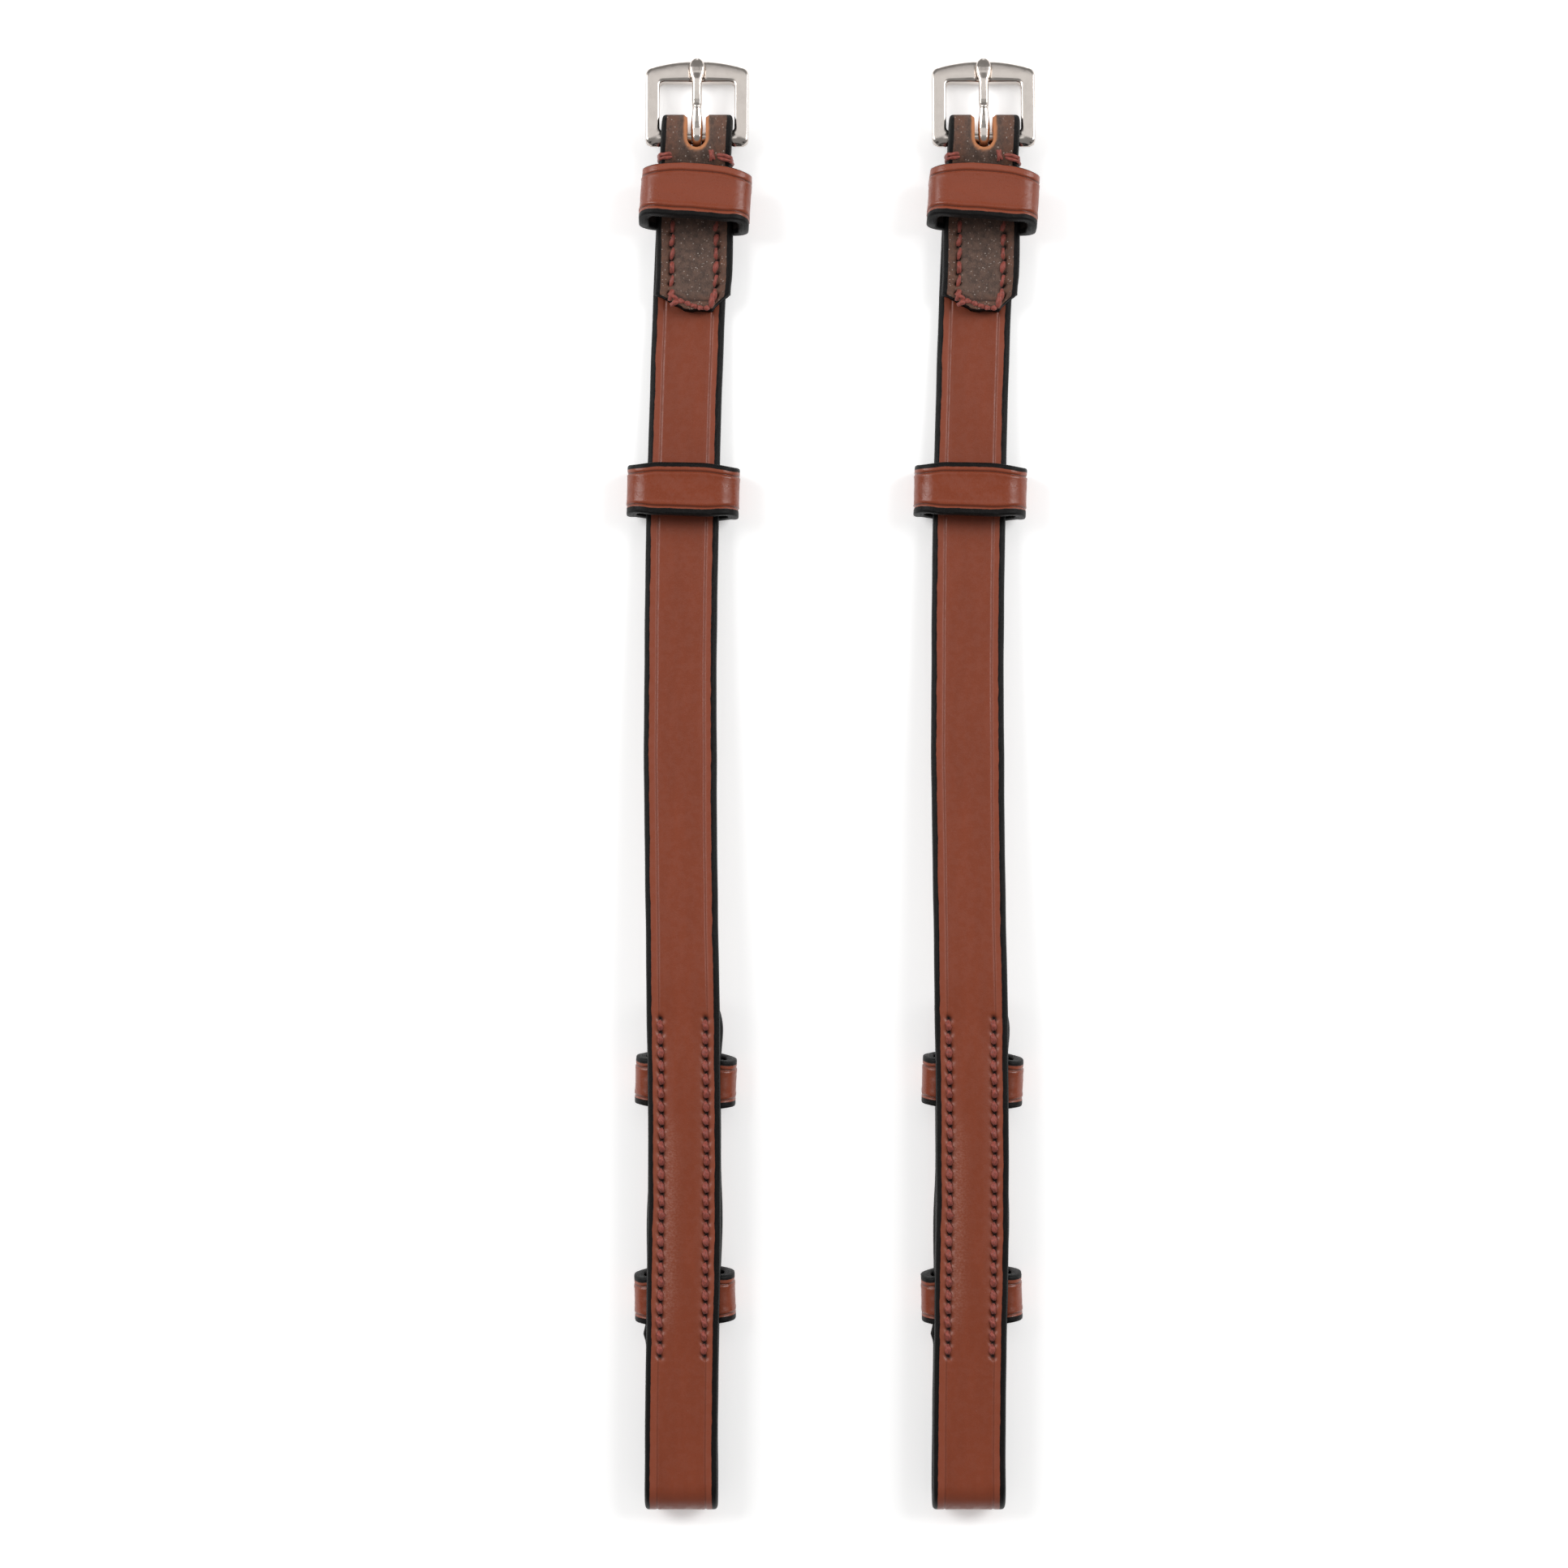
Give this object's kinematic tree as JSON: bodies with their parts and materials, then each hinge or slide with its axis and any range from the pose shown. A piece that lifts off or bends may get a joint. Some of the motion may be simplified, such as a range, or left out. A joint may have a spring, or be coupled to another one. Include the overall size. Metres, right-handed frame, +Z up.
{
  "type": "pair of bridle cheekpiece straps",
  "caption": "Pair of narrow brown leather bridle straps, each with a small metal buckle, keepers and a stitched lower end that folds round a bit ring.",
  "frame": {"origin": "middle of the pair's footprint, on the table that both straps lie on", "axes": "+X across the pair from the near strap to the off strap, +Y along the straps towards the buckles, +Z up, away from the table, out of the grain side"},
  "size_m": [0.0728, 0.258, 0.0121],
  "materials": {
    "bridle_leather": "mid-brown bridle leather, smooth grain side with a soft sheen, black dyed edges",
    "keeper_leather": "the same leather in narrower strips, creased near both edges",
    "stainless_steel": "polished stainless steel, slightly worn",
    "linen_thread": "waxed reddish-brown linen thread"
  },
  "bodies": {
    "near_strap": {"near_cheek_strap": "bridle_leather", "near_chape_fold": "bridle_leather", "near_billet_lining": "bridle_leather", "near_chape_keeper": "keeper_leather", "near_upper_billet_keeper": "keeper_leather", "near_lower_billet_keeper": "keeper_leather", "near_hook_stud": "stainless_steel", "near_chape_thread": "linen_thread", "near_left_billet_thread": "linen_thread", "near_right_billet_thread": "linen_thread"},
    "near_runner": {"near_runner_keeper": "keeper_leather"},
    "near_frame": {"near_buckle_frame": "stainless_steel"},
    "near_tongue": {"near_buckle_tongue": "stainless_steel"},
    "off_strap": {"off_cheek_strap": "bridle_leather", "off_chape_fold": "bridle_leather", "off_billet_lining": "bridle_leather", "off_chape_keeper": "keeper_leather", "off_upper_billet_keeper": "keeper_leather", "off_lower_billet_keeper": "keeper_leather", "off_hook_stud": "stainless_steel", "off_chape_thread": "linen_thread", "off_left_billet_thread": "linen_thread", "off_right_billet_thread": "linen_thread"},
    "off_runner": {"off_runner_keeper": "keeper_leather"},
    "off_frame": {"off_buckle_frame": "stainless_steel"},
    "off_tongue": {"off_buckle_tongue": "stainless_steel"}
  },
  "joints": [
    {"name": "near_runner_slide", "type": "slide", "parent": "near_strap", "child": "near_runner", "axis": [0, 0.9981, -0.0613], "range_m": [-0.075, 0.022]},
    {"name": "near_buckle_hinge", "type": "hinge", "parent": "near_strap", "child": "near_frame", "pos_m": [-0.02407, 0.1146, 0.00415], "axis": [1, 0, 0], "range_deg": [-40, 25]},
    {"name": "near_tongue_hinge", "type": "hinge", "parent": "near_frame", "child": "near_tongue", "pos_m": [-0.02407, 0.1146, 0.00415], "axis": [1, 0, 0], "range_deg": [0, 55]},
    {"name": "off_runner_slide", "type": "slide", "parent": "off_strap", "child": "off_runner", "axis": [0, 0.9981, -0.0613], "range_m": [-0.075, 0.022]},
    {"name": "off_buckle_hinge", "type": "hinge", "parent": "off_strap", "child": "off_frame", "pos_m": [0.02687, 0.1146, 0.00415], "axis": [1, 0, 0], "range_deg": [-40, 25]},
    {"name": "off_tongue_hinge", "type": "hinge", "parent": "off_frame", "child": "off_tongue", "pos_m": [0.02687, 0.1146, 0.00415], "axis": [1, 0, 0], "range_deg": [0, 55]},
    {"name": "pair_spread", "type": "slide", "parent": "near_strap", "child": "off_strap", "axis": [1, 0, 0], "range_m": [-0.027, 0.15]}
  ]
}
